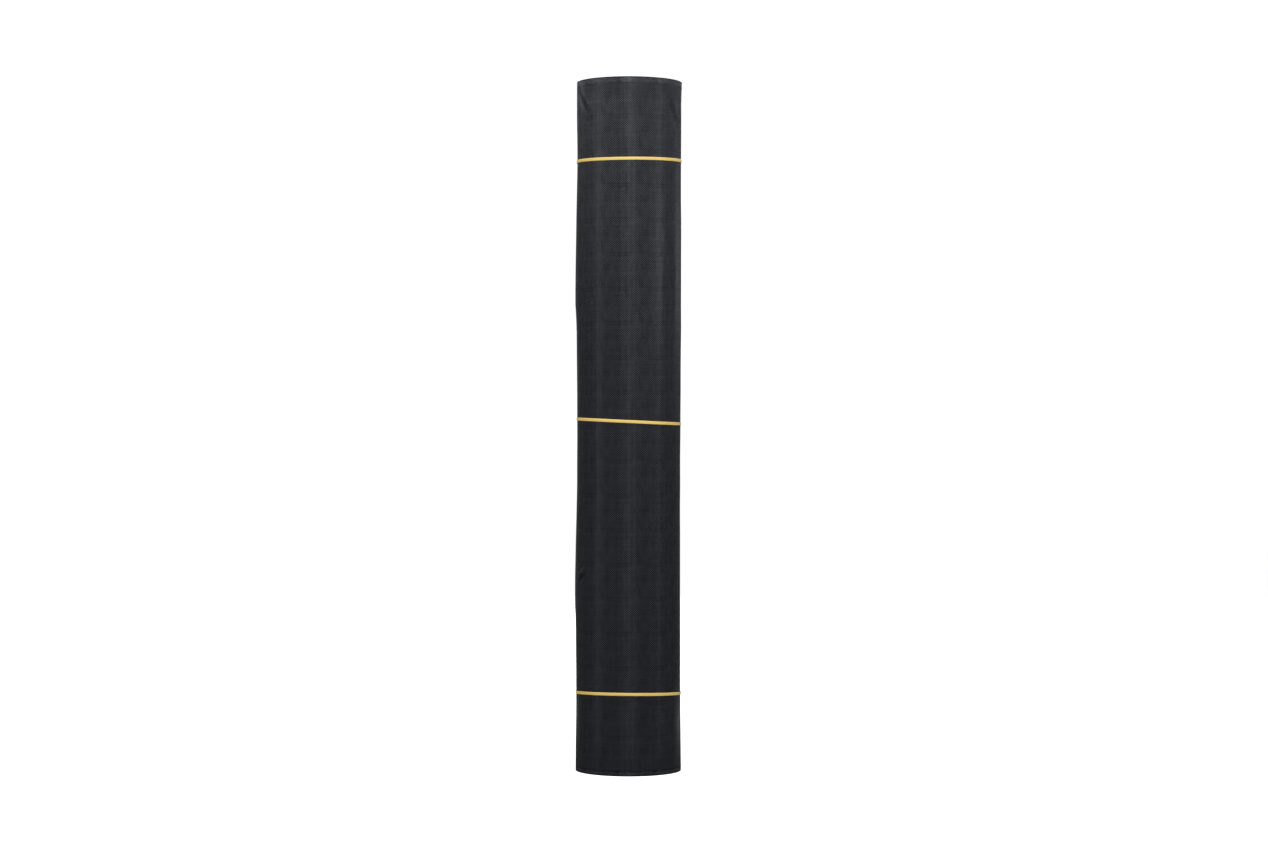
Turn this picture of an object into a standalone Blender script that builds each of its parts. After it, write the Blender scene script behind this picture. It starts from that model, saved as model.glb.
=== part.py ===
"""A roll of woven aluminium insect screen, standing on end and held by three flat tie bands.

Metres, +Z up. The origin is the middle of the base on the surface that the roll stands on.
Angles run anticlockwise seen from above, from +X. The side that faces -Y is the front.
"""
from collections import namedtuple
from math import cos, pi, radians, sin

import bmesh
import bpy
from mathutils import Vector

# The cloth: a 36 inch screen wound on a mandrel that has been drawn out
CLOTH_WIDTH = 0.9144
TURN_PITCH = 0.000465
CORE_RADIUS = 0.0160
CORE_EDGE_ANGLE = radians(40)

# Where the tie bands grip the roll
BOTTOM_BAND_HEIGHT = 0.1029
MIDDLE_BAND_HEIGHT = 0.4637
TOP_BAND_HEIGHT = 0.8097

# The last turn: its free edge lies just behind the left side, and it bears on the roll from LAP_START on
FREE_EDGE_ANGLE = radians(160)
LAP_START_ANGLE = radians(235)
LAP_CURVE = 1.5
RIGHT_SIDE_ANGLE = 0.0

# The outer face from the base to the top: radius on the right side, and how far the free edge springs open
Row = namedtuple("Row", "height radius lap_lift")
OUTLINE = [
    Row(0.0000, 0.07010, 0.0000),
    Row(0.0450, 0.06980, 0.0000),
    Row(BOTTOM_BAND_HEIGHT, 0.06920, 0.0001),
    Row(0.1450, 0.06900, 0.0011),
    Row(0.1850, 0.06880, 0.0020),
    Row(0.2050, 0.06875, 0.0028),
    Row(0.2250, 0.06865, 0.0040),
    Row(0.2500, 0.06855, 0.0042),
    Row(0.3000, 0.06835, 0.0032),
    Row(0.3450, 0.06835, 0.0016),
    Row(0.3850, 0.06845, 0.0004),
    Row(MIDDLE_BAND_HEIGHT, 0.06865, 0.0000),
    Row(0.5450, 0.06900, 0.0004),
    Row(0.5850, 0.06910, 0.0010),
    Row(0.6030, 0.06915, 0.0020),
    Row(0.6230, 0.06915, 0.0035),
    Row(0.6450, 0.06920, 0.0032),
    Row(0.6850, 0.06925, 0.0025),
    Row(0.7250, 0.06920, 0.0019),
    Row(0.7650, 0.06895, 0.0012),
    Row(TOP_BAND_HEIGHT, 0.06885, 0.0004),
    Row(0.8850, 0.06920, 0.0008),
    Row(CLOTH_WIDTH, 0.06980, 0.0000),
]

# The shallow spiral valley between bundles of turns, on both ends
VALLEY_TURNS = 5
VALLEY_DEPTH = 0.0010
VALLEY_OUTER_RADIUS = 0.0655
VALLEY_INNER_RADIUS = 0.0195

# The tie bands: welded plastic strapping, each drawn round the roll in a slightly slanting plane
Band = namedtuple("Band", "name height rise_x rise_y")
BANDS = [
    Band("tie_band_top", TOP_BAND_HEIGHT, 0.0074, 0.0340),
    Band("tie_band_middle", MIDDLE_BAND_HEIGHT, -0.0458, 0.0043),
    Band("tie_band_bottom", BOTTOM_BAND_HEIGHT, -0.0082, -0.0604),
]
BAND_WIDTH = 0.0040
BAND_THICKNESS = 0.0008
BAND_CLEARANCE = 0.0003
BAND_LAP = (radians(75), radians(99))
BAND_LAP_THICKNESS = 0.0006
BAND_BRIDGE = radians(5)

# How finely the round shapes are divided
COLUMNS = 60
STEP_ANGLE = radians(0.4)
SHARP_ANGLE = radians(30)
WELD_DISTANCE = 0.00001


def between(low, high, share):
    """The value that lies the given share of the way from low to high."""
    return low + (high - low) * share


def outline_at(height):
    """Radius and lap lift at a height, read from the outline's rows."""
    for below, above in zip(OUTLINE, OUTLINE[1:]):
        if height <= above.height:
            break
    share = (height - below.height) / (above.height - below.height)
    return between(below.radius, above.radius, share), between(below.lap_lift, above.lap_lift, share)


def turns_from(edge, angle):
    """How much of a turn lies between an edge of the cloth and an angle, from 0 to just under 1."""
    return ((angle - edge) % (2 * pi)) / (2 * pi)


def outer_radius(angle, height):
    """The outer face: it loses one turn's pitch all the way round, and springs open at the free edge."""
    radius, lap_lift = outline_at(height)
    side = turns_from(FREE_EDGE_ANGLE, RIGHT_SIDE_ANGLE)
    wound = TURN_PITCH * (side - turns_from(FREE_EDGE_ANGLE, angle))
    reach = LAP_START_ANGLE - FREE_EDGE_ANGLE
    share = max(0.0, 1 - turns_from(FREE_EDGE_ANGLE, angle) * 2 * pi / reach)
    return radius + wound + lap_lift * share ** LAP_CURVE


def core_radius(angle):
    """The face of the hollow core, where the first turn starts at its own edge."""
    return CORE_RADIUS + TURN_PITCH * (1 - turns_from(CORE_EDGE_ANGLE, angle))


def column_angles(steps):
    """Evenly spread angles, with a close pair in place of each step's nearest one."""
    pitch = 2 * pi / COLUMNS
    angles = [index * pitch for index in range(COLUMNS)]
    for step in steps:
        nearest = min(angles, key=lambda angle: abs(angle - step))
        angles.remove(nearest)
        angles += [step - STEP_ANGLE / 2, step + STEP_ANGLE / 2]
    return sorted(angles)


def ring(name, angles, section):
    """A closed ring: section(angle) gives (radius, height) points, up the outer face and down the inner."""
    rows = len(section(angles[0]))
    bpy.ops.mesh.primitive_torus_add(major_segments=len(angles), minor_segments=rows)
    piece = bpy.context.active_object
    piece.name = name
    piece.data.name = name
    for column, angle in enumerate(angles):
        for row, (radius, height) in enumerate(section(angle)):
            vertex = piece.data.vertices[column * rows + row]
            vertex.co = (radius * cos(angle), radius * sin(angle), height)
    return piece


def shade(piece):
    """Smooth rounds with sharp arrises."""
    piece.data.shade_smooth()
    piece.data.set_sharp_from_angle(angle=SHARP_ANGLE)


def material(name, colour, roughness, metallic):
    """A Principled material."""
    made = bpy.data.materials.new(name)
    made.use_nodes = True
    shader = made.node_tree.nodes["Principled BSDF"]
    shader.inputs["Base Color"].default_value = (*colour, 1.0)
    shader.inputs["Roughness"].default_value = roughness
    shader.inputs["Metallic"].default_value = metallic
    return made


def move_to(piece, collection):
    """Puts an object into one collection only."""
    for old in list(piece.users_collection):
        old.objects.unlink(piece)
    collection.objects.link(piece)


def valley_cutter(name, height):
    """A four-sided tube along an inward spiral at one end of the roll."""
    curve = bpy.data.curves.new(name, "CURVE")
    curve.dimensions = "3D"
    curve.bevel_depth = VALLEY_DEPTH
    curve.bevel_resolution = 0
    curve.use_fill_caps = True
    spline = curve.splines.new("POLY")
    steps = VALLEY_TURNS * COLUMNS
    spline.points.add(steps)
    for index, point in enumerate(spline.points):
        radius = between(VALLEY_OUTER_RADIUS, VALLEY_INNER_RADIUS, index / steps)
        angle = FREE_EDGE_ANGLE + 2 * pi * VALLEY_TURNS * index / steps
        point.co = (radius * cos(angle), radius * sin(angle), height, 1.0)
    tube = bpy.data.objects.new(name, curve)
    bpy.context.scene.collection.objects.link(tube)
    bpy.context.view_layer.update()
    mesh = bpy.data.meshes.new_from_object(tube.evaluated_get(bpy.context.evaluated_depsgraph_get()))
    work = bmesh.new()
    work.from_mesh(mesh)
    bmesh.ops.remove_doubles(work, verts=work.verts, dist=WELD_DISTANCE)
    work.to_mesh(mesh)
    work.free()
    cutter = bpy.data.objects.new(name, mesh)
    cutter.matrix_world = tube.matrix_world
    bpy.data.objects.remove(tube)
    cutter.hide_render = True
    cutter.display_type = "WIRE"
    return cutter


def build_roll(parts, cutters):
    """The wound cloth as one solid, with its core hollow and the valleys on its ends."""
    def section(angle):
        outside = [(outer_radius(angle, row.height), row.height) for row in OUTLINE]
        inside = core_radius(angle)
        return outside + [(inside, CLOTH_WIDTH), (inside, 0.0)]

    roll = ring("mesh_roll", column_angles([FREE_EDGE_ANGLE, CORE_EDGE_ANGLE]), section)
    shade(roll)
    roll.data.materials.append(material("charcoal_screen", (0.035, 0.036, 0.042), 0.5, 0.6))
    move_to(roll, parts)
    for name, height in (("valley_base", 0.0), ("valley_top", CLOTH_WIDTH)):
        cutter = valley_cutter(name, height)
        cutters.objects.link(cutter)
        cut = roll.modifiers.new(name, "BOOLEAN")
        cut.operation = "DIFFERENCE"
        cut.solver = "EXACT"
        cut.object = cutter
    return roll


def build_band(band, parts, plastic):
    """One tie band: it bears on the highest of the cloth under it, and its ends lap at the back."""
    def middle(angle):
        radius = outer_radius(angle, band.height)
        return band.height + radius * (band.rise_x * cos(angle) + band.rise_y * sin(angle))

    def section(angle):
        low, high = middle(angle) - BAND_WIDTH / 2, middle(angle) + BAND_WIDTH / 2
        near = (angle - BAND_BRIDGE, angle, angle + BAND_BRIDGE)
        inside = max(outer_radius(a, z) for a in near for z in (low, high)) + BAND_CLEARANCE
        lapped = BAND_LAP[0] < angle < BAND_LAP[1]
        outside = inside + BAND_THICKNESS + (BAND_LAP_THICKNESS if lapped else 0.0)
        return [(outside, low), (outside, high), (inside, high), (inside, low)]

    piece = ring(band.name, column_angles(BAND_LAP), section)
    shade(piece)
    piece.data.materials.append(plastic)
    move_to(piece, parts)
    return piece


def centre_on_origin(pieces):
    """Moves every piece alike, so that the middle of the whole outline stands over the origin."""
    points = [vertex.co for piece in pieces for vertex in piece.data.vertices]
    middle = [(min(p[axis] for p in points) + max(p[axis] for p in points)) / 2 for axis in (0, 1)]
    shift = Vector((-middle[0], -middle[1], 0.0))
    for piece in pieces:
        for vertex in piece.data.vertices:
            vertex.co += shift


def main():
    for old in list(bpy.data.objects):
        bpy.data.objects.remove(old)
    parts = bpy.data.collections.new("insect_screen_roll")
    cutters = bpy.data.collections.new("cutters")
    bpy.context.scene.collection.children.link(parts)
    bpy.context.scene.collection.children.link(cutters)
    roll = build_roll(parts, cutters)
    plastic = material("golden_strapping", (0.80, 0.47, 0.06), 0.38, 0.0)
    bands = [build_band(band, parts, plastic) for band in BANDS]
    centre_on_origin([roll, *bands, *cutters.objects])


main()
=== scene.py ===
"""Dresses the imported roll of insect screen: the cloth turn by turn, its weave, cut edge and tie bands."""
from collections import namedtuple
from math import cos, pi, radians, sin

import bpy
import numpy as np
from mathutils import Matrix, Vector


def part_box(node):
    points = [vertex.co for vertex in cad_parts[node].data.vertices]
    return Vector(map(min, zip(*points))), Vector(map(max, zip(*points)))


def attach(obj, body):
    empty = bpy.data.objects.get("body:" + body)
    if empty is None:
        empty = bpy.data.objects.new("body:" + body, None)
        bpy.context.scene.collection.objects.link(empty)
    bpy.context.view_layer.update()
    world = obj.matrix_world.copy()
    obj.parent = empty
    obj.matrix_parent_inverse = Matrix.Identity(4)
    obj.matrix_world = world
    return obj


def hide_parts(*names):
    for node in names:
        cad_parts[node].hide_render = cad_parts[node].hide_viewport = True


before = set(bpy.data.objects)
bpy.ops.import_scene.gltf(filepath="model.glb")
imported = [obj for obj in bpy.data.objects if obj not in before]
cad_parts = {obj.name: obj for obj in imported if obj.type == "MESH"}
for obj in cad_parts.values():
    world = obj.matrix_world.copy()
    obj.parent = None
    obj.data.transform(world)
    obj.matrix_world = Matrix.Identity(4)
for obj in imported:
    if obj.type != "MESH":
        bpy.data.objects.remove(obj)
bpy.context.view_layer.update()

# The cloth, as in the part's source: a 36 inch screen wound on a mandrel that has been drawn out. Its right
# side lies RIGHT_SIDE_SHARE of a turn on from the free edge
CLOTH_WIDTH = 0.9144
TURN_PITCH = 0.000465
CORE_RADIUS = 0.0160
FREE_EDGE_ANGLE = radians(160)
LAP_START_ANGLE = radians(235)
LAP_CURVE = 1.5
RIGHT_SIDE_SHARE = 200 / 360
BOTTOM_BAND_HEIGHT = 0.1029
MIDDLE_BAND_HEIGHT = 0.4637
TOP_BAND_HEIGHT = 0.8097

# The outer face from the base to the top: radius on the right side, and how far the free edge springs open
Row = namedtuple("Row", "height radius lap_lift")
OUTLINE = [
    Row(0.0000, 0.07010, 0.0000),
    Row(0.0450, 0.06980, 0.0000),
    Row(BOTTOM_BAND_HEIGHT, 0.06920, 0.0001),
    Row(0.1450, 0.06900, 0.0011),
    Row(0.1850, 0.06880, 0.0020),
    Row(0.2050, 0.06875, 0.0028),
    Row(0.2250, 0.06865, 0.0040),
    Row(0.2500, 0.06855, 0.0042),
    Row(0.3000, 0.06835, 0.0032),
    Row(0.3450, 0.06835, 0.0016),
    Row(0.3850, 0.06845, 0.0004),
    Row(MIDDLE_BAND_HEIGHT, 0.06865, 0.0000),
    Row(0.5450, 0.06900, 0.0004),
    Row(0.5850, 0.06910, 0.0010),
    Row(0.6030, 0.06915, 0.0020),
    Row(0.6230, 0.06915, 0.0035),
    Row(0.6450, 0.06920, 0.0032),
    Row(0.6850, 0.06925, 0.0025),
    Row(0.7250, 0.06920, 0.0019),
    Row(0.7650, 0.06895, 0.0012),
    Row(TOP_BAND_HEIGHT, 0.06885, 0.0004),
    Row(0.8850, 0.06920, 0.0008),
    Row(CLOTH_WIDTH, 0.06980, 0.0000),
]

# The radius that the outer face would have if it were straight, as the turns near the core are
STRAIGHT_RADIUS = 0.0683

# At how many places round the roll its outline is measured, to find the middle of it
OUTLINE_COLUMNS = 721

# The shallow spiral valley between bundles of turns, on both ends
VALLEY_TURNS = 5
VALLEY_DEPTH = 0.0010
VALLEY_OUTER_RADIUS = 0.0655
VALLEY_INNER_RADIUS = 0.0195

# The tie bands: welded plastic strapping, each drawn round the roll in a slightly slanting plane. The outer
# end climbs over the inner one along a ramp at the back, and lies a little higher up the roll
Band = namedtuple("Band", "node height rise_x rise_y")
BANDS = [
    Band("tie_band_top", TOP_BAND_HEIGHT, 0.0074, 0.0340),
    Band("tie_band_middle", MIDDLE_BAND_HEIGHT, -0.0458, 0.0043),
    Band("tie_band_bottom", BOTTOM_BAND_HEIGHT, -0.0082, -0.0604),
]
BAND_WIDTH = 0.0040
BAND_THICKNESS = 0.0006
BAND_SEAT = 0.00015
BAND_LAP = (radians(75), radians(99))
BAND_LAP_RAMP = radians(7)
BAND_LAP_GAP = 0.00002
BAND_LAP_SHIFT = 0.0003
BAND_BRIDGE = radians(5)
BAND_COLUMNS = 200

# A quarter of the band's section, from its side to its outer face: shares of its width and of its thickness
BAND_CORNER = [(0.50, 0.45), (0.47, 0.72), (0.39, 0.90), (0.15, 1.0)]

# The weave: 18 wires an inch round the roll, the warp, and 16 an inch along it, the weft
WIRE_RADIUS = 0.00019
WARP_PITCH = 0.0254 / 18
WEFT_PITCH = 0.0254 / 16
SHEET_THICKNESS = 0.00030
TILE_PITCHES = 32

# How far the wires wander from straight lines, in pitches, and how the layer below lies: its shift, its own
# wander, and how much slower that is round the roll and up it
WANDER = 0.16
BELOW_SHIFT = 0.35
BELOW_WANDER = 0.5
BELOW_CALM = (0.5, 0.4)

# The selvedges: thicker than the body and a little proud of it, with the warp wires twice as close, with a
# fringe and an inner line that are both SELVEDGE_LINE wide, and with a round wire at the rim
SELVEDGE_WIDTH = 0.0072
SELVEDGE_PITCH = WARP_PITCH / 2
SELVEDGE_LINE = 0.0014
SELVEDGE_EXTRA = 0.00012
SELVEDGE_PROUD = 0.00006
SELVEDGE_ROWS = 5
RIM_WIRE_RADIUS = 0.00024
RIM_WIRE_INSET = 0.00018
RIM_WIRE_SIDES = 6

# How a selvedge's map lies on its tile: the margin at the rim, the span across, and the step over an edge
MAP_MARGIN = 0.04
MAP_SPAN = 0.92
MAP_EDGE = 0.03

# The cut ends of the warp wires: the shortest and the longest, how much more is held in the cloth, and how
# far they bend up or down and lift off the roll, as a spread or as a mean and a spread
CUT_LENGTHS = (0.0006, 0.0019)
CUT_HELD = 0.6
CUT_BEND = 0.00022
CUT_LIFT = (0.0001, 0.00018)
CUT_STEPS = 4
CUT_SIDES = 5

# How uneven the outer turns lie, and over how much of a turn that fades at their inner end
BUCKLE = 0.00011
RIPPLE = 0.00012
UNEVEN_FADE = 0.2

# How far the ends of the other turns stand in at the most, the level of their waves below which they stay
# flush, and the height over which the shift fades away from each end of the roll
SHORT_TURNS = 0.00035
FLUSH_BELOW = -0.3
END_ZONE = 0.02

# The marks on the outer turn: a snag low on the left, where a ridge stands over a groove, soft slanting
# creases under both ends of the top rim, and a long upright fold on the right
Mark = namedtuple("Mark", "turn height lean length width rise")
MARKS = [
    Mark(0.1306, 0.2630, radians(35), 0.0085, 0.0030, 0.0024),
    Mark(0.1306, 0.2568, radians(35), 0.0085, 0.0030, -0.0015),
    Mark(0.1160, 0.8900, radians(-52), 0.0190, 0.0034, -0.0010),
    Mark(0.1420, 0.8900, radians(-52), 0.0170, 0.0038, 0.0009),
    Mark(0.1560, 0.8640, radians(-78), 0.0200, 0.0050, -0.0005),
    Mark(0.4780, 0.8760, radians(-58), 0.0200, 0.0040, 0.0006),
    Mark(0.4700, 0.8620, radians(-58), 0.0220, 0.0040, -0.0007),
    Mark(0.4760, 0.6500, radians(90), 0.0650, 0.0040, 0.0005),
]

# The rows of points up the outer turns, which lie closer at the snag and at the creases
ROW_STEP = 0.0125
RowSpan = namedtuple("RowSpan", "low high step")
CLOSER_ROWS = [RowSpan(0.248, 0.272, 0.0020), RowSpan(0.845, 0.9025, 0.0028)]

# How the turns are divided between the pieces, counted inwards from the free edge, and how fine each is
OUTER_TURNS = 1.2
LOOSE_TURNS = 13.0
ALL_TURNS = (STRAIGHT_RADIUS - CORE_RADIUS) / TURN_PITCH + RIGHT_SIDE_SHARE
OUTER_COLUMNS = 340
LOOSE_COLUMNS_A_TURN = 72
TIGHT_COLUMNS_A_TURN = 64

# From which angles on the meshes have a hard arris
SHEET_SHARP_ANGLE = radians(35)
WIRE_SHARP_ANGLE = radians(50)

# A wire that rises by more than this share of its length takes its sides from the X axis instead of the Z
STEEP = 0.7

# The camera: level with the middle of the roll, and turned a little, so that the roll leans as in the photo
CAMERA_LENS_MM = 74.6
CAMERA_SENSOR_MM = 36.0
CAMERA_REACH = 60.0
CAMERA_DISTANCE = 3.50
CAMERA_HEIGHT = 0.4572
CAMERA_ASIDE = 0.0068
CAMERA_UP = radians(0.083)
CAMERA_ROLL = radians(0.105)

rng = np.random.default_rng(7)


def read_rows(column, heights):
    """One of the outline's columns at some heights, on a smooth curve that doesn't overshoot its rows."""
    at = np.array([row.height for row in OUTLINE])
    values = np.array([getattr(row, column) for row in OUTLINE])
    spans = np.diff(at)
    steps = np.diff(values) / spans
    slopes = np.zeros(len(values))
    same_way = steps[:-1] * steps[1:] > 0
    product = 2 * steps[:-1] * steps[1:]
    total = np.where(same_way, steps[:-1] + steps[1:], 1.0)
    slopes[1:-1] = np.where(same_way, product / total, 0.0)
    slopes[0], slopes[-1] = steps[0], steps[-1]
    i = np.clip(np.searchsorted(at, heights) - 1, 0, len(steps) - 1)
    t = np.clip((heights - at[i]) / spans[i], 0.0, 1.0)
    low = (1 + 2 * t) * (1 - t) ** 2 * values[i] + t * (1 - t) ** 2 * spans[i] * slopes[i]
    high = t * t * (3 - 2 * t) * values[i + 1] + t * t * (t - 1) * spans[i] * slopes[i + 1]
    return low + high


def waves(count, turn_rate, height_rate):
    """Seeded waves over the cloth: a function of turns and heights, with values of about -1 to 1.

    The rates are the most waves that lie in one turn and in one metre of height."""
    across = rng.uniform(-turn_rate, turn_rate, count)
    along = rng.uniform(-height_rate, height_rate, count)
    phase = rng.uniform(0, 2 * pi, count)
    even_strength = (2.0 / count) ** 0.5 / 2

    def read(turns, heights):
        total = sum(np.sin(2 * pi * (a * turns + b * heights) + p) for a, b, p in zip(across, along, phase))
        return total * even_strength
    return read


buckles = waves(14, turn_rate=9.0, height_rate=16.0)
ripples = waves(30, turn_rate=55.0, height_rate=9.0)
drift_along = waves(8, turn_rate=4.0, height_rate=6.0)
drift_across = waves(8, turn_rate=4.0, height_rate=6.0)
telescoping = waves(10, turn_rate=0.6, height_rate=0.0)


def middle_of_cad():
    """Where the winding's axis stands: the part's source centres the whole outline over the origin."""
    turns = np.linspace(0, 1, OUTLINE_COLUMNS)[:, None]
    heights = np.array([row.height for row in OUTLINE])[None, :]
    points = around(turns, sheet_radius(turns, heights), heights, Vector((0, 0, 0)))
    low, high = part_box("mesh_roll")
    return Vector((
        (low.x + high.x - points[..., 0].min() - points[..., 0].max()) / 2,
        (low.y + high.y - points[..., 1].min() - points[..., 1].max()) / 2,
        0.0,
    ))


def sheet_radius(turns, heights):
    """The outer face of the cloth, at so many turns in from the free edge."""
    flare = np.clip(1 - np.maximum(turns - 1, 0) / (LOOSE_TURNS - 1), 0, 1)
    reach = (LAP_START_ANGLE - FREE_EDGE_ANGLE) / (2 * pi)
    lift = read_rows("lap_lift", heights) * np.clip(1 - turns / reach, 0, 1) ** LAP_CURVE
    outer = STRAIGHT_RADIUS + (read_rows("radius", heights) - STRAIGHT_RADIUS) * flare
    return outer + TURN_PITCH * (RIGHT_SIDE_SHARE - turns) + lift


def around(turns, radius, heights, axis):
    """Points on the roll, stacked on a last axis of x, y and z."""
    angle = FREE_EDGE_ANGLE + 2 * pi * turns
    x = axis.x + radius * np.cos(angle)
    y = axis.y + radius * np.sin(angle)
    return np.stack(np.broadcast_arrays(x, y, heights), -1)


AXIS = middle_of_cad()


def valley(turns, radius):
    """How deep the spiral valley between bundles is under a turn's end."""
    pitch = (VALLEY_OUTER_RADIUS - VALLEY_INNER_RADIUS) / VALLEY_TURNS
    middle = VALLEY_OUTER_RADIUS - pitch * (turns % 1.0)
    off = (radius - middle + pitch / 2) % pitch - pitch / 2
    inside = (radius < VALLEY_OUTER_RADIUS + VALLEY_DEPTH) & (radius > VALLEY_INNER_RADIUS - VALLEY_DEPTH)
    return np.where(inside, np.maximum(0.0, VALLEY_DEPTH - np.abs(off)), 0.0)


def settle(turns, radius, heights):
    """What to add to the heights where a turn's ends stand in from the ends of the roll."""
    short = SHORT_TURNS * np.clip(telescoping(turns, 0.0) - FLUSH_BELOW, 0, 1) * (turns > OUTER_TURNS)
    near_top = np.clip(1 - (CLOTH_WIDTH - heights) / END_ZONE, 0, 1)
    near_base = np.clip(1 - heights / END_ZONE, 0, 1)
    return (valley(turns, radius) + short) * (near_base - near_top)


def arc(turns):
    """The length of cloth from the free edge to that turn."""
    return 2 * pi * ((STRAIGHT_RADIUS + TURN_PITCH * RIGHT_SIDE_SHARE) * turns - TURN_PITCH * turns ** 2 / 2)


# Meshes

def sweep(name, points, maps):
    """A closed solid swept through closed sections, with flat ladders of faces over its two ends.

    points is columns by section points by 3. Each section runs up its outer side and down its inner side.
    maps names UV maps: each has two arrays with a value for every point, and the steps across the edges."""
    columns, around_section = points.shape[:2]
    index = np.arange(columns * around_section).reshape(columns, around_section)
    ahead = np.roll(index, -1, axis=1)
    sides = np.stack([index[:-1], index[1:], ahead[1:], ahead[:-1]], -1).reshape(-1, 4)
    half = around_section // 2
    rungs = np.arange(half - 1)
    far = around_section - 1 - rungs
    first = np.stack([index[0, rungs], index[0, rungs + 1], index[0, far - 1], index[0, far]], -1)
    last = np.stack([index[-1, far], index[-1, far - 1], index[-1, rungs + 1], index[-1, rungs]], -1)
    faces = np.concatenate([sides, first, last])
    mesh = bpy.data.meshes.new(name)
    mesh.from_pydata(points.reshape(-1, 3).tolist(), [], faces.tolist())
    for map_name, (across, along, edge_step) in maps.items():
        u = np.broadcast_to(across, index.shape).reshape(-1)[faces]
        v = np.broadcast_to(along, index.shape).reshape(-1)[faces]
        section_place = np.tile(np.arange(around_section), columns - 1)
        top_edge = np.flatnonzero(section_place == half - 1)
        base_edge = np.flatnonzero(section_place == around_section - 1)
        v[top_edge, 2:] += edge_step[1]
        v[base_edge, :2] -= edge_step[1]
        u[len(sides):len(sides) + len(first), 2:] -= edge_step[0]
        u[len(sides) + len(first):, :2] += edge_step[0]
        layer = mesh.uv_layers.new(name=map_name)
        layer.uv.foreach_set("vector", np.stack([u, v], -1).astype(np.float32).ravel())
    mesh.shade_smooth()
    mesh.set_sharp_from_angle(angle=SHEET_SHARP_ANGLE)
    piece = bpy.data.objects.new(name, mesh)
    bpy.context.scene.collection.objects.link(piece)
    return piece


def tubes(name, paths, radius, sides):
    """Round wires along paths, an array of wires by points by 3, with closed ends, joined as one mesh."""
    wires, steps = paths.shape[:2]
    along = np.gradient(paths, axis=1)
    along /= np.linalg.norm(along, axis=-1, keepdims=True)
    upright = np.abs(along[..., 2:]) > STEEP
    side = np.cross(along, np.where(upright, [1.0, 0.0, 0.0], [0.0, 0.0, 1.0]))
    side /= np.linalg.norm(side, axis=-1, keepdims=True)
    other = np.cross(along, side)
    turn = 2 * pi * np.arange(sides) / sides
    ring = side[:, :, None] * np.cos(turn)[:, None] + other[:, :, None] * np.sin(turn)[:, None]
    points = paths[:, :, None] + radius * ring
    index = np.arange(points.size // 3).reshape(wires, steps, sides)
    ahead = np.roll(index, -1, axis=2)
    walls = np.stack([index[:, :-1], ahead[:, :-1], ahead[:, 1:], index[:, 1:]], -1).reshape(-1, 4)
    ends = np.concatenate([index[:, 0, ::-1], index[:, -1]])
    mesh = bpy.data.meshes.new(name)
    mesh.from_pydata(points.reshape(-1, 3).tolist(), [], walls.tolist() + ends.tolist())
    mesh.shade_smooth()
    mesh.set_sharp_from_angle(angle=WIRE_SHARP_ANGLE)
    piece = bpy.data.objects.new(name, mesh)
    bpy.context.scene.collection.objects.link(piece)
    return piece


def uneven(turns, heights):
    """How far the outer turn stands off its even winding: slow buckles, upright ripples and a few marks."""
    free = np.clip((OUTER_TURNS - turns) / UNEVEN_FADE, 0, 1)
    marks = sum(mark.rise * near(mark, turns, heights) for mark in MARKS)
    return free * (BUCKLE * buckles(turns, heights) + RIPPLE * ripples(turns, heights) + marks)


def near(mark, turns, heights):
    """1 at the middle of a mark, and falling away over its length and width."""
    across = (turns - mark.turn) * 2 * pi * STRAIGHT_RADIUS
    up = heights - mark.height
    along = across * cos(mark.lean) + up * sin(mark.lean)
    aside = up * cos(mark.lean) - across * sin(mark.lean)
    return np.exp(-(along / mark.length) ** 2 - (aside / mark.width) ** 2)


def sheet_points(turns, heights, thickness, proud):
    """The heights up the outer side and down the inner side of a closed sheet, and all its points.

    Its outer side stands so far proud of the winding's own face."""
    both = np.concatenate([heights, heights[::-1]])[None, :]
    inner = np.arange(both.shape[1]) >= len(heights)
    radius = sheet_radius(turns, both) + proud - thickness * inner + uneven(turns, both)
    return both, around(turns, radius, both + settle(turns, radius, both), AXIS)


def wound_cloth(name, turns, heights):
    """A closed sheet along the winding, with the weave's two UV maps."""
    turns = turns[:, None]
    both, points = sheet_points(turns, heights, SHEET_THICKNESS, 0.0)
    u = arc(turns) / WEFT_PITCH + WANDER * drift_across(turns, both)
    v = both / WARP_PITCH + WANDER * drift_along(turns, both)
    below_drift = drift_along(turns * BELOW_CALM[0], both * BELOW_CALM[1])
    below_u = arc(turns + 1) / WEFT_PITCH
    below_v = both / WARP_PITCH + BELOW_SHIFT + BELOW_WANDER * below_drift
    edge = (SHEET_THICKNESS / WEFT_PITCH / TILE_PITCHES, SHEET_THICKNESS / WARP_PITCH / TILE_PITCHES)
    return sweep(name, points, {
        "OFBake": (u / TILE_PITCHES, v / TILE_PITCHES, edge),
        "Below": (below_u / TILE_PITCHES, below_v / TILE_PITCHES, edge),
    })


def selvedge(name, turns, heights, at_top):
    """One selvedge of the outer turns: its map runs once across its width."""
    turns = turns[:, None]
    thickness = SHEET_THICKNESS + SELVEDGE_EXTRA
    both, points = sheet_points(turns, heights, thickness, SELVEDGE_PROUD)
    u = arc(turns) / WEFT_PITCH / TILE_PITCHES
    from_rim = CLOTH_WIDTH - both if at_top else both
    v = MAP_MARGIN + MAP_SPAN * from_rim / SELVEDGE_WIDTH
    edge = (thickness / WEFT_PITCH / TILE_PITCHES, MAP_EDGE)
    return sweep(name, points, {"OFBake": (u, v, edge)})


def spread(first, last, columns):
    """Evenly spaced places along the winding, from one turn to another, with so many columns between."""
    return np.linspace(first, last, int(columns) + 1)


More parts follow.
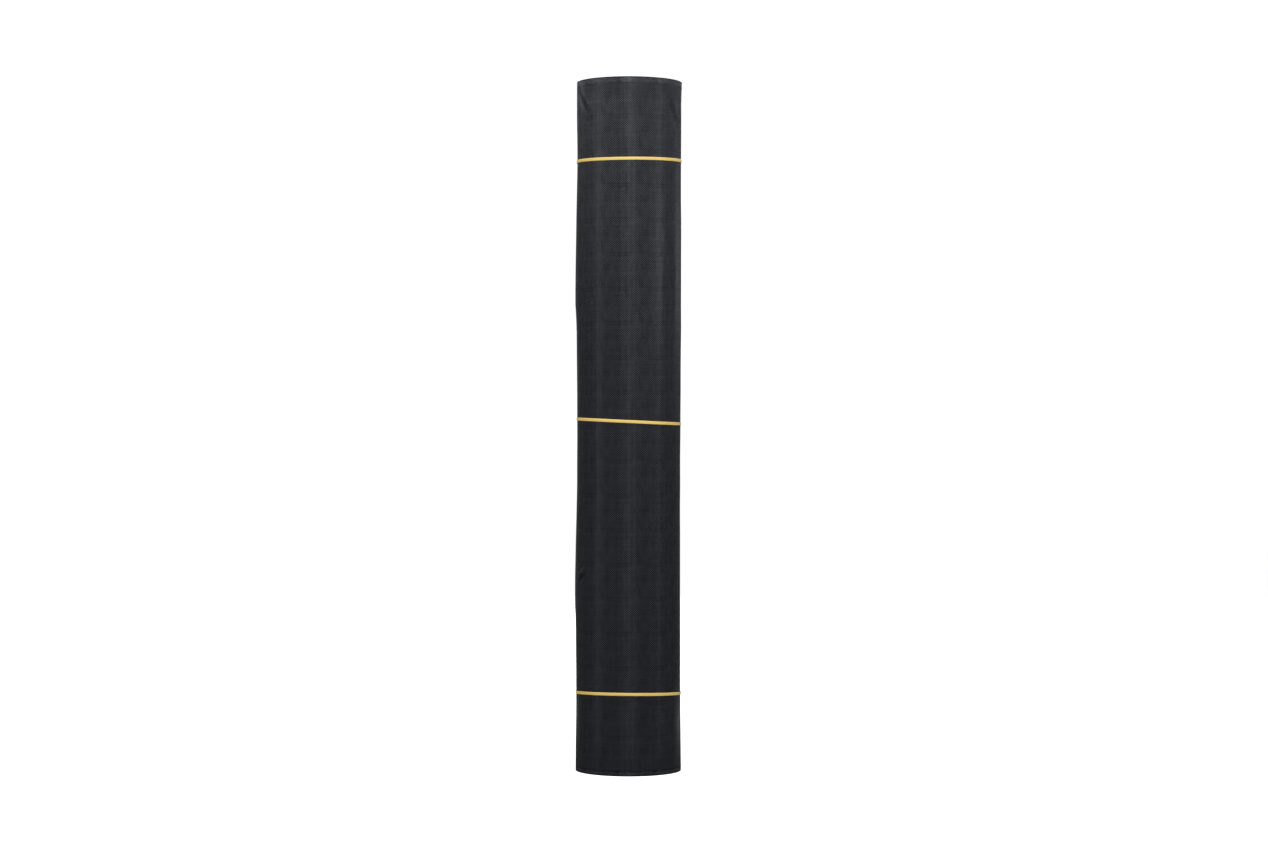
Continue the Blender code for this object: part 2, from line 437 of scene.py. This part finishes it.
def body_rows():
    """The heights of the outer turns' rows between the selvedges: evenly spread, with closer ones added."""
    low, high = SELVEDGE_WIDTH, CLOTH_WIDTH - SELVEDGE_WIDTH
    even = np.linspace(low, high, round((high - low) / ROW_STEP) + 1)
    closer = [np.arange(*span) for span in CLOSER_ROWS]
    return np.unique(np.concatenate([even, *closer]).round(6))


def build_cloth():
    """The roll: the outer turns with their selvedges, the looser turns under them, and all the rest."""
    columns = spread(0, OUTER_TURNS, OUTER_COLUMNS)
    outer = wound_cloth("screen_outer_turns", columns, body_rows())
    rim = np.linspace(0, SELVEDGE_WIDTH, SELVEDGE_ROWS)
    base = selvedge("screen_selvedge_base", columns, rim, at_top=False)
    top = selvedge("screen_selvedge_top", columns, rim + CLOTH_WIDTH - SELVEDGE_WIDTH, at_top=True)
    end_rows = [0.0, END_ZONE, CLOTH_WIDTH - END_ZONE, CLOTH_WIDTH]
    columns = spread(OUTER_TURNS, LOOSE_TURNS, (LOOSE_TURNS - OUTER_TURNS) * LOOSE_COLUMNS_A_TURN)
    loose_rows = np.unique(end_rows + [row.height for row in OUTLINE[1::2]])
    loose = wound_cloth("screen_loose_turns", columns, loose_rows)
    columns = spread(LOOSE_TURNS, ALL_TURNS, (ALL_TURNS - LOOSE_TURNS) * TIGHT_COLUMNS_A_TURN)
    tight = wound_cloth("screen_tight_turns", columns, np.array(end_rows))
    return outer, base, top, loose, tight


def build_cut_edge():
    """The cut ends of the warp wires, standing a little out of the free edge, some of them bent."""
    count = int(CLOTH_WIDTH / WARP_PITCH) - 1
    heights = (np.arange(count) + 1) * WARP_PITCH
    lengths = rng.uniform(*CUT_LENGTHS, count)
    bend = rng.normal(0, CUT_BEND, count)
    out = rng.normal(*CUT_LIFT, count)
    share = np.linspace(-CUT_HELD, 1.0, CUT_STEPS)
    turns = -(share[None] * lengths[:, None]) / (2 * pi * STRAIGHT_RADIUS)
    beyond = np.clip(share, 0, 1) ** 2
    z = heights[:, None] + bend[:, None] * beyond
    radius = sheet_radius(np.zeros_like(turns), z) - SHEET_THICKNESS / 2 + out[:, None] * beyond
    return tubes("screen_cut_wires", around(turns, radius, z, AXIS), WIRE_RADIUS, CUT_SIDES)


def build_rim_wires():
    """The outermost warp wire of each selvedge, which rounds off the rim of the outer turns."""
    turns = spread(0, OUTER_TURNS, OUTER_COLUMNS)
    paths = []
    for height in (RIM_WIRE_INSET, CLOTH_WIDTH - RIM_WIRE_INSET):
        z = np.full_like(turns, height)
        radius = sheet_radius(turns, z) - SHEET_THICKNESS / 2 + uneven(turns, z)
        paths.append(around(turns, radius, z + settle(turns, radius, z), AXIS))
    return tubes("screen_rim_wires", np.stack(paths), RIM_WIRE_RADIUS, RIM_WIRE_SIDES)


def band_section():
    """Across the band and through its thickness, as shares: up its outer side and down its inner side."""
    outer = [(-across, through) for across, through in BAND_CORNER] + BAND_CORNER[::-1]
    return np.array(outer + [(across, 1 - through) for across, through in reversed(outer)])


def build_band(band):
    """A strip drawn once round the roll, its outer end welded over its inner end at the back."""
    angles = np.linspace(BAND_LAP[0], BAND_LAP[1] + 2 * pi, BAND_COLUMNS)
    section = band_section()
    turns = (angles - FREE_EDGE_ANGLE) / (2 * pi)

    def seat(at):
        """The face of the cloth under the band's middle line at those angles."""
        height = band.height + STRAIGHT_RADIUS * (band.rise_x * np.cos(at) + band.rise_y * np.sin(at))
        return sheet_radius(((at - FREE_EDGE_ANGLE) / (2 * pi)) % 1.0, height)

    inside = np.max([seat(angles + step) for step in (-BAND_BRIDGE, 0, BAND_BRIDGE)], axis=0) + BAND_SEAT
    lapped = np.clip((angles - (BAND_LAP[0] + 2 * pi - BAND_LAP_RAMP)) / BAND_LAP_RAMP, 0, 1)
    lapped = lapped * lapped * (3 - 2 * lapped)
    inside = inside + lapped * (BAND_THICKNESS + BAND_LAP_GAP)
    middle = band.height + inside * (band.rise_x * np.cos(angles) + band.rise_y * np.sin(angles))
    middle = middle + lapped * BAND_LAP_SHIFT
    radius = inside[:, None] + BAND_THICKNESS * section[None, :, 1]
    heights = middle[:, None] + BAND_WIDTH * section[None, :, 0]
    points = around(turns[:, None], radius, heights, AXIS)
    piece = sweep(band.node.replace("tie_", "yellow_"), points, {})
    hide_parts(band.node)
    return piece


# Materials

# The coat's colour on the wires, the painted highlight on their knuckles, the painted shade between them and
# on the layer below, and its finish
COAT = (0.0086, 0.0094, 0.0119, 1.0)
KNUCKLE_PAINTED_HIGHLIGHT = (0.040, 0.0435, 0.056, 1.0)
DEPTH_PAINTED_SHADE = (0.0040, 0.0044, 0.0056, 1.0)
UNDER_PAINTED_SHADE = (0.0060, 0.0065, 0.0083, 1.0)
GAP_ROUGHNESS = 0.90
WIRE_ROUGHNESS = 0.50
KNUCKLE_ROUGHNESS = 0.24
KNUCKLE_METALLIC = 0.4
COAT_SPECULAR = 0.15
GLOSS_ROUGHNESS = 0.35
GAP_GLOSS = 0.43
WIRE_GLOSS = 0.67

# The weave's relief: the height of its middle plane above the gap, in wire radii, then the share of the full
# height from which the knuckles take their painted highlight, how fast it grows and how softly it starts
WEAVE_MIDDLE = 1.5
CREST_FROM = 0.55
CREST_GAIN = 2.2
CREST_SOFTNESS = 0.1

# How strongly the crossings are painted lighter and darker, a painted highlight and painted shade: its
# strength, how much that varies, and its limit
PAINTED_GLINT_CHECKER = 2.2
PAINTED_GLINT_VARIES = 0.6 * PAINTED_GLINT_CHECKER
PAINTED_GLINT_LIMIT = 0.56

# Unevenness of the tone: its strength, and the size of its patches in wires, across and up
STREAKS = 0.20
UPRIGHT_STREAK = (1.8, 32.0)
LEVEL_STREAK = (20.0, 1.8)
CLOUDS = 0.18
CLOUD_PATCH = (7.0, 10.0)
NOISE_GAIN = 4.0

# The selvedges: their finer wires, how dark the fringe at their rim is, and the speckle on them
SELVEDGE_WIRE_SHARE = 0.9
FRINGE_DARK = 0.75
SPECKLE = 1.4
SPECKLE_PATCH = (4.0, 3.0)
SPECKLE_LEAST = 0.3

# Loose wires: the bare metal, and the level of the noise from which it shows
BARE_METAL = (0.42, 0.43, 0.45, 1.0)
SCUFFED_FROM = 0.60

# The strapping's two tones, and the stretch of the lines that are drawn along it
STRAP_DEEP = (0.88, 0.59, 0.140, 1.0)
STRAP_PALE = (0.94, 0.66, 0.190, 1.0)
ALONG_THE_STRAP = (0.02, 0.02, 1.0)


class Graph:
    """A material's nodes, made by short calls that take sockets or plain values."""

    def __init__(self, name):
        self.material = bpy.data.materials.new(name)
        self.material.use_nodes = True
        self.nodes = self.material.node_tree.nodes
        self.links = self.material.node_tree.links
        self.shader = self.nodes["Principled BSDF"]

    def put(self, socket, value):
        """Links a socket into another, or sets it to a plain value."""
        if isinstance(value, bpy.types.NodeSocket):
            self.links.new(value, socket)
        else:
            socket.default_value = value

    def maths(self, operation, *values, clamp=False):
        """The result of a Math node."""
        node = self.nodes.new("ShaderNodeMath")
        node.operation = operation
        node.use_clamp = clamp
        for socket, value in zip(node.inputs, values):
            self.put(socket, value)
        return node.outputs[0]

    def mix(self, share, low, high, kind="FLOAT", blend="MIX"):
        """From low at a share of 0 to high at 1, for numbers, vectors or colours."""
        node = self.nodes.new("ShaderNodeMix")
        node.data_type = kind
        node.blend_type = blend
        first = {"FLOAT": 2, "VECTOR": 4, "RGBA": 6}[kind]
        self.put(node.inputs[0], share)
        self.put(node.inputs[first], low)
        self.put(node.inputs[first + 1], high)
        return node.outputs[{"FLOAT": 0, "VECTOR": 1, "RGBA": 2}[kind]]

    def vector(self, x, y, z):
        """Three numbers as one vector."""
        node = self.nodes.new("ShaderNodeCombineXYZ")
        for socket, value in zip(node.inputs, (x, y, z)):
            self.put(socket, value)
        return node.outputs[0]

    def map(self, name, across, along):
        """A UV map's two numbers, each times its scale."""
        node = self.nodes.new("ShaderNodeUVMap")
        node.uv_map = name
        parts = self.nodes.new("ShaderNodeSeparateXYZ")
        self.links.new(node.outputs[0], parts.inputs[0])
        return [self.maths("MULTIPLY", part, scale) for part, scale in zip(parts.outputs, (across, along))]

    def ripple(self, u, v, across, along, detail=1.0):
        """Noise of about -1 to 1 that repeats with the tile, its patches so many wires across and along."""
        circle = []
        for place, wires in ((u, across), (v, along)):
            turn = self.maths("MULTIPLY", place, 2 * pi / TILE_PITCHES)
            radius = TILE_PITCHES / (2 * pi * wires)
            for wave in ("COSINE", "SINE"):
                circle.append(self.maths("MULTIPLY", self.maths(wave, turn), radius))
        node = self.nodes.new("ShaderNodeTexNoise")
        node.noise_dimensions = "4D"
        node.inputs["Scale"].default_value = 1.0
        node.inputs["Detail"].default_value = detail
        self.links.new(self.vector(*circle[:3]), node.inputs["Vector"])
        self.links.new(circle[3], node.inputs["W"])
        return self.maths("MULTIPLY", self.maths("SUBTRACT", node.outputs["Fac"], 0.5), NOISE_GAIN)

    def noise(self, scale, detail, stretch=(1.0, 1.0, 1.0)):
        """Noise in the part's own space, centred on 0.5; stretch multiplies its scale on each axis."""
        place = self.nodes.new("ShaderNodeTexCoord")
        fit = self.nodes.new("ShaderNodeMapping")
        fit.inputs["Scale"].default_value = stretch
        self.links.new(place.outputs["Object"], fit.inputs["Vector"])
        node = self.nodes.new("ShaderNodeTexNoise")
        node.inputs["Scale"].default_value = scale
        node.inputs["Detail"].default_value = detail
        self.links.new(fit.outputs[0], node.inputs["Vector"])
        return node.outputs["Fac"]


def woven(g, u, v, weft_share, warp_share):
    """A plain weave at (u, v), counted in wires.

    The shares are each wire's radius as a share of its pitch."""
    off_u = g.maths("SUBTRACT", g.maths("FRACT", u), 0.5)
    off_v = g.maths("SUBTRACT", g.maths("FRACT", v), 0.5)
    cell = g.maths("ADD", g.maths("FLOOR", u), g.maths("FLOOR", v))
    sign = g.maths("SUBTRACT", 1.0, g.maths("MULTIPLY", 2.0, g.maths("FLOORED_MODULO", cell, 2.0)))
    x = g.maths("DIVIDE", off_u, weft_share)
    y = g.maths("DIVIDE", off_v, warp_share)
    round_x = g.maths("SQRT", g.maths("SUBTRACT", 1.0, g.maths("MULTIPLY", x, x), clamp=True))
    round_y = g.maths("SQRT", g.maths("SUBTRACT", 1.0, g.maths("MULTIPLY", y, y), clamp=True))
    on_weft = g.maths("LESS_THAN", g.maths("ABSOLUTE", x), 1.0)
    on_warp = g.maths("LESS_THAN", g.maths("ABSOLUTE", y), 1.0)
    swing_u = g.maths("MULTIPLY", off_u, pi)
    swing_v = g.maths("MULTIPLY", off_v, pi)
    weft_lift = g.maths("MULTIPLY", sign, g.maths("COSINE", swing_v))
    warp_lift = g.maths("MULTIPLY", g.maths("MULTIPLY", sign, -1.0), g.maths("COSINE", swing_u))
    weft_rise = g.maths("ADD", g.maths("ADD", round_x, weft_lift), WEAVE_MIDDLE)
    warp_rise = g.maths("ADD", g.maths("ADD", round_y, warp_lift), WEAVE_MIDDLE)
    weft_top = g.maths("MULTIPLY", on_weft, weft_rise)
    warp_top = g.maths("MULTIPLY", on_warp, warp_rise)
    weft_shows = g.maths("GREATER_THAN", weft_top, warp_top)
    slope = WIRE_RADIUS * pi / WARP_PITCH
    weft_slope = g.maths("MULTIPLY", g.maths("MULTIPLY", sign, g.maths("SINE", swing_v)), slope)
    warp_slope = g.maths("MULTIPLY", g.maths("MULTIPLY", sign, g.maths("SINE", swing_u)), -slope)
    normal = g.mix(weft_shows, g.vector(warp_slope, y, round_y), g.vector(x, weft_slope, round_x), "VECTOR")
    cover = g.maths("MAXIMUM", on_weft, on_warp)
    height = g.maths("DIVIDE", g.maths("MAXIMUM", weft_top, warp_top), WEAVE_MIDDLE + 2)
    above = g.maths("MULTIPLY", g.maths("SUBTRACT", height, CREST_FROM), CREST_GAIN)
    # The crest: the top of each weft knuckle, which carries the painted highlight in the wire colour as well
    # as the knuckles' own gloss, roughness and metal
    crest = g.maths("MULTIPLY", g.maths("SMOOTH_MAX", above, 0.0, CREST_SOFTNESS), weft_shows)
    # The checker: crossings where the weft lies on top are painted lighter and the others darker, painted
    # highlight and shade for how the two wires catch the lights
    glint_checker = g.maths("MULTIPLY", weft_lift, g.maths("COSINE", swing_u))
    return cover, crest, normal, glint_checker


def set_normal(g, normal):
    """Turns the shader's normal by one given in the weave's own directions."""
    scaled = g.nodes.new("ShaderNodeVectorMath")
    scaled.operation = "MULTIPLY_ADD"
    g.links.new(normal, scaled.inputs[0])
    scaled.inputs[1].default_value = (0.5, 0.5, 0.5)
    scaled.inputs[2].default_value = (0.5, 0.5, 0.5)
    node = g.nodes.new("ShaderNodeNormalMap")
    node.uv_map = "OFBake"
    g.links.new(scaled.outputs[0], node.inputs["Color"])
    g.links.new(node.outputs[0], g.shader.inputs["Normal"])


def finish_cloth(g, u, v, cover, crest, normal, glint_checker, below, painted_sheen_and_tone=1.0):
    """The charcoal coat: a painted highlight on the knuckles, painted shade between the wires, a painted
    checker of glint and shade over the crossings, and a tone that is nowhere quite even.
    """
    wire = g.mix(crest, COAT, KNUCKLE_PAINTED_HIGHLIGHT, "RGBA")
    # Between the wires: painted shade, darkest in the depth and a little less on the wires of the layer
    # below
    behind = g.mix(below, DEPTH_PAINTED_SHADE, UNDER_PAINTED_SHADE, "RGBA")
    shown = g.mix(cover, behind, wire, "RGBA")
    streaks = g.maths("ADD", g.ripple(u, v, *UPRIGHT_STREAK), g.ripple(u, v, *LEVEL_STREAK))
    clouds = g.ripple(u, v, *CLOUD_PATCH, detail=2.0)
    tone = g.maths("MULTIPLY_ADD", streaks, STREAKS, g.maths("MULTIPLY_ADD", clouds, CLOUDS, 1.0))
    # The painted checker of glint and shade, its strength varied by the clouds and held within its limit
    strength = g.maths("MULTIPLY_ADD", clouds, PAINTED_GLINT_VARIES, PAINTED_GLINT_CHECKER)
    glint_swing = g.maths("MULTIPLY", glint_checker, strength)
    glint_swing = g.maths("MAXIMUM", g.maths("MINIMUM", glint_swing, PAINTED_GLINT_LIMIT), -PAINTED_GLINT_LIMIT)
    grey = g.maths("MULTIPLY", g.maths("MULTIPLY", tone, g.maths("ADD", 1.0, glint_swing)), painted_sheen_and_tone)
    gloss = g.maths("MULTIPLY", grey, g.mix(cover, GAP_GLOSS, WIRE_GLOSS), clamp=True)
    roughness = g.mix(cover, GAP_ROUGHNESS, g.mix(crest, WIRE_ROUGHNESS, KNUCKLE_ROUGHNESS))
    toned = g.mix(1.0, shown, g.vector(grey, grey, grey), "RGBA", blend="MULTIPLY")
    g.put(g.shader.inputs["Base Color"], toned)
    g.put(g.shader.inputs["Roughness"], roughness)
    g.put(g.shader.inputs["Metallic"], g.maths("MULTIPLY", crest, KNUCKLE_METALLIC))
    g.put(g.shader.inputs["Coat Weight"], gloss)
    g.put(g.shader.inputs["Specular IOR Level"], COAT_SPECULAR)
    g.put(g.shader.inputs["Coat Roughness"], GLOSS_ROUGHNESS)
    set_normal(g, normal)


def weave_material():
    """The body of the screen: one layer of wires, with the next one behind it in painted shade."""
    g = Graph("charcoal_screen")
    tile = float(TILE_PITCHES)
    shares = (WIRE_RADIUS / WEFT_PITCH, WIRE_RADIUS / WARP_PITCH)
    u, v = g.map("OFBake", tile, tile)
    cover, crest, normal, glint_checker = woven(g, u, v, *shares)
    below, _, below_normal, _ = woven(g, *g.map("Below", tile, tile), *shares)
    flat = g.vector(0.0, 0.0, 1.0)
    behind = g.mix(below, flat, below_normal, "VECTOR")
    finish_cloth(g, u, v, cover, crest, g.mix(cover, behind, normal, "VECTOR"), glint_checker, below)
    return g.material


def selvedge_material(name, inner_line, painted_sheen_and_tone):
    """A selvedge: warp wires twice as close, with a dark fringe at the rim and a line at the inner side."""
    g = Graph(name)
    across = SELVEDGE_WIDTH / MAP_SPAN
    u, v = g.map("OFBake", float(TILE_PITCHES), across / SELVEDGE_PITCH)
    warp_share = WIRE_RADIUS * SELVEDGE_WIRE_SHARE / SELVEDGE_PITCH
    cover, crest, normal, glint_checker = woven(g, u, v, WIRE_RADIUS / WEFT_PITCH, warp_share)
    _, from_rim = g.map("OFBake", 1.0, across)
    line = g.maths("GREATER_THAN", from_rim, SELVEDGE_WIDTH - SELVEDGE_LINE)
    fringe = g.maths("LESS_THAN", from_rim, SELVEDGE_LINE)
    line = g.maths("MULTIPLY", line, inner_line)
    fringe = g.maths("MULTIPLY", fringe, FRINGE_DARK)
    # The fringe and the inner line are open weave: fewer wires, so more of the painted depth shade shows,
    # and the wires left there are darkened as well
    light = g.maths("SUBTRACT", 1.0, g.maths("MAXIMUM", line, fringe))
    # The speckle rides on the selvedge's level of tone and painted sheen
    speckle = g.maths("MULTIPLY_ADD", g.ripple(u, v, *SPECKLE_PATCH), SPECKLE, painted_sheen_and_tone)
    speckle = g.maths("MAXIMUM", speckle, SPECKLE_LEAST)
    cover = g.maths("MULTIPLY", cover, light)
    finish_cloth(g, u, v, cover, crest, normal, glint_checker, 0.0, g.maths("MULTIPLY", light, speckle))
    return g.material


def wire_material():
    """Loose wires, cut ends and rims: the coat, scuffed through here and there to bright metal."""
    g = Graph("charcoal_wire")
    scuffs = g.maths("GREATER_THAN", g.noise(scale=900.0, detail=2.0), SCUFFED_FROM)
    g.put(g.shader.inputs["Base Color"], g.mix(scuffs, COAT, BARE_METAL, "RGBA"))
    g.put(g.shader.inputs["Metallic"], g.mix(scuffs, 0.0, 0.8))
    g.put(g.shader.inputs["Roughness"], g.mix(scuffs, 0.42, 0.30))
    return g.material


def band_material():
    """Golden yellow strapping: satin, with drawn lines along it and a fine embossed grain."""
    g = Graph("golden_strapping")
    drawn = g.noise(scale=2600.0, detail=2.0, stretch=ALONG_THE_STRAP)
    cloudy = g.noise(scale=60.0, detail=3.0)
    tone = g.maths("ADD", g.maths("MULTIPLY", drawn, 0.5), g.maths("MULTIPLY", cloudy, 0.5))
    g.put(g.shader.inputs["Base Color"], g.mix(tone, STRAP_DEEP, STRAP_PALE, "RGBA"))
    g.put(g.shader.inputs["Roughness"], g.mix(cloudy, 0.30, 0.46))
    g.shader.inputs["Subsurface Weight"].default_value = 0.12
    g.shader.inputs["Subsurface Radius"].default_value = (0.002, 0.0012, 0.0004)
    bump = g.nodes.new("ShaderNodeBump")
    bump.inputs["Strength"].default_value = 0.25
    bump.inputs["Distance"].default_value = 0.0002
    g.links.new(drawn, bump.inputs["Height"])
    g.links.new(bump.outputs[0], g.shader.inputs["Normal"])
    return g.material


# The studio

FLOOR_GLOW = 0.89
FLOOR_GREY = (0.80, 0.80, 0.80, 1.0)
FLOOR_RADIUS = 5.0
FLOOR_SIDES = 96
BEND_RADIUS = 1.5
BEND_STEPS = 12
WALL_HEIGHT = 4.5
WORLD_STRENGTH = 0.09
WHITE = (1.0, 1.0, 1.0, 1.0)

# The soft lights: each is aimed at the axis, at its own height but no higher than HIGHEST_AIM. Azimuths are
# in degrees, 0 on the camera's side and positive to its right, places and sizes in metres, powers in watts
LIGHT_COLOUR = (0.97, 0.99, 1.05)
HIGHEST_AIM = 0.66
Softbox = namedtuple("Softbox", "name azimuth distance height width tall power")
SOFTBOXES = [
    Softbox("strip_left", -67.0, 0.9, 0.62, 0.06, 1.20, 0.60),
    Softbox("strip_middle", 1.5, 0.9, 0.62, 0.06, 1.20, 0.66),
    Softbox("strip_right", 66.5, 0.9, 0.60, 0.055, 1.10, 0.55),
    Softbox("strip_left_low", -67.0, 0.35, 0.04, 0.03, 0.07, 0.0105),
    Softbox("strip_middle_low", 1.5, 0.35, 0.04, 0.03, 0.07, 0.0105),
    Softbox("strip_right_low", 66.5, 0.35, 0.04, 0.03, 0.07, 0.0105),
    Softbox("side_left_back", -132, 3.0, 1.7, 1.2, 0.6, 5.1),
    Softbox("side_left", -106, 3.0, 1.7, 1.2, 0.6, 4.2),
    Softbox("front_left", -80, 3.0, 1.7, 1.0, 0.6, 10.9),
    Softbox("front_left_inner", -60, 3.0, 1.7, 1.0, 0.6, 10.9),
    Softbox("gap_left", -33, 3.0, 2.1, 0.9, 0.6, 33.5),
    Softbox("front_middle", 0, 3.0, 1.6, 1.3, 0.6, 17.9),
    Softbox("gap_right", 33, 3.0, 2.1, 0.9, 0.6, 33.5),
    Softbox("front_right_inner", 60, 3.0, 1.7, 1.0, 0.6, 8.0),
    Softbox("front_right", 80, 3.0, 1.7, 1.0, 0.6, 8.0),
    Softbox("side_right", 106, 3.0, 1.7, 1.2, 0.6, 3.7),
    Softbox("side_right_back", 132, 3.0, 1.7, 1.2, 0.6, 3.7),
    Softbox("glow_right", 66, 1.0, 0.74, 0.4, 0.12, 0.55),
    Softbox("glow_right_mid", 66.5, 0.9, 0.46, 0.05, 0.16, 0.18),
    Softbox("glow_inner_mid", 30, 1.0, 0.55, 0.20, 0.14, 0.11),
    Softbox("rim_left", -155, 2.0, 0.8, 0.6, 1.5, 0.25),
    Softbox("rim_left_low", -150, 0.35, 0.03, 0.12, 0.05, 0.011),
    Softbox("rim_right", 148, 2.0, 0.8, 0.6, 1.5, 0.18),
    Softbox("rim_right_high", 130, 1.6, 0.78, 0.8, 0.30, 0.56),
    Softbox("rim_right_low", 134, 0.35, 0.03, 0.12, 0.05, 0.013),
    Softbox("back", 180, 3.0, 1.8, 1.8, 0.8, 70.0),
]


def build_camera():
    """A long lens, nearly level with the middle of the roll."""
    camera = bpy.data.objects.new("camera", bpy.data.cameras.new("camera"))
    camera.data.lens = CAMERA_LENS_MM
    camera.data.sensor_width = CAMERA_SENSOR_MM
    camera.data.clip_end = CAMERA_REACH
    level = Matrix.Rotation(radians(90) + CAMERA_UP, 4, "X") @ Matrix.Rotation(CAMERA_ROLL, 4, "Z")
    place = Vector((AXIS.x + CAMERA_ASIDE, AXIS.y - CAMERA_DISTANCE, CAMERA_HEIGHT))
    camera.matrix_world = Matrix.Translation(place) @ level
    bpy.context.scene.collection.objects.link(camera)
    bpy.context.scene.camera = camera


def build_floor():
    """A pale round floor that curves up into a wall on every side."""
    bends = [step / BEND_STEPS * pi / 2 for step in range(BEND_STEPS + 1)]
    profile = [(FLOOR_RADIUS + BEND_RADIUS * sin(a), BEND_RADIUS * (1 - cos(a))) for a in bends]
    profile.append((FLOOR_RADIUS + BEND_RADIUS, WALL_HEIGHT))
    turn = 2 * pi * np.arange(FLOOR_SIDES) / FLOOR_SIDES
    points = [(r * cos(a), r * sin(a), z) for r, z in profile for a in turn]
    faces = [tuple(range(FLOOR_SIDES))]
    for ring in range(len(profile) - 1):
        low, high = ring * FLOOR_SIDES, (ring + 1) * FLOOR_SIDES
        for i in range(FLOOR_SIDES):
            j = (i + 1) % FLOOR_SIDES
            faces.append((low + j, low + i, high + i, high + j))
    mesh = bpy.data.meshes.new("studio_floor")
    mesh.from_pydata(points, [], faces)
    mesh.shade_smooth()
    floor = bpy.data.objects.new("studio_floor", mesh)
    bpy.context.scene.collection.objects.link(floor)
    g = Graph("pale_floor")
    g.shader.inputs["Base Color"].default_value = FLOOR_GREY
    g.shader.inputs["Roughness"].default_value = 0.9
    g.shader.inputs["Specular IOR Level"].default_value = 0.0
    g.shader.inputs["Emission Color"].default_value = WHITE
    g.shader.inputs["Emission Strength"].default_value = FLOOR_GLOW
    mesh.materials.append(g.material)
    floor.visible_diffuse = False
    floor.visible_glossy = False


def build_softbox(box):
    """A soft light turned to the roll."""
    data = bpy.data.lights.new(box.name, "AREA")
    data.shape = "RECTANGLE"
    data.size = box.width
    data.size_y = box.tall
    data.energy = box.power
    data.color = LIGHT_COLOUR
    lamp = bpy.data.objects.new(box.name, data)
    lamp.visible_camera = False
    azimuth = radians(box.azimuth)
    place = Vector((sin(azimuth) * box.distance, -cos(azimuth) * box.distance, box.height))
    lamp.location = place
    lamp.rotation_mode = "QUATERNION"
    aim = Vector((0, 0, min(box.height, HIGHEST_AIM)))
    lamp.rotation_quaternion = (aim - place).to_track_quat("-Z", "Y")
    bpy.context.scene.collection.objects.link(lamp)


def build_lights():
    """The soft lights, and a faint even light from all round."""
    for box in SOFTBOXES:
        build_softbox(box)
    world = bpy.data.worlds.new("studio")
    world.use_nodes = True
    background = world.node_tree.nodes["Background"]
    background.inputs["Color"].default_value = WHITE
    background.inputs["Strength"].default_value = WORLD_STRENGTH
    bpy.context.scene.world = world
    bpy.context.scene.view_settings.view_transform = "Standard"


def main():
    build_camera()
    outer, base, top, loose, tight = build_cloth()
    edge = build_cut_edge()
    rims = build_rim_wires()
    weave = weave_material()
    for piece in (outer, loose, tight):
        piece.data.materials.append(weave)
    # Both selvedges are set lighter than the body; the top one more, as a painted highlight from the light
    # above
    base.data.materials.append(selvedge_material("charcoal_selvedge_base", inner_line=0.45, painted_sheen_and_tone=1.50))
    top.data.materials.append(selvedge_material("charcoal_selvedge_top", inner_line=0.10, painted_sheen_and_tone=1.90))
    wire = wire_material()
    for piece in (edge, rims):
        piece.data.materials.append(wire)
    for piece in (outer, base, top, loose, tight, edge, rims):
        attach(piece, "root")
    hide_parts("mesh_roll")
    plastic = band_material()
    for band in BANDS:
        piece = build_band(band)
        piece.data.materials.append(plastic)
        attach(piece, "root")
    build_floor()
    build_lights()


main()
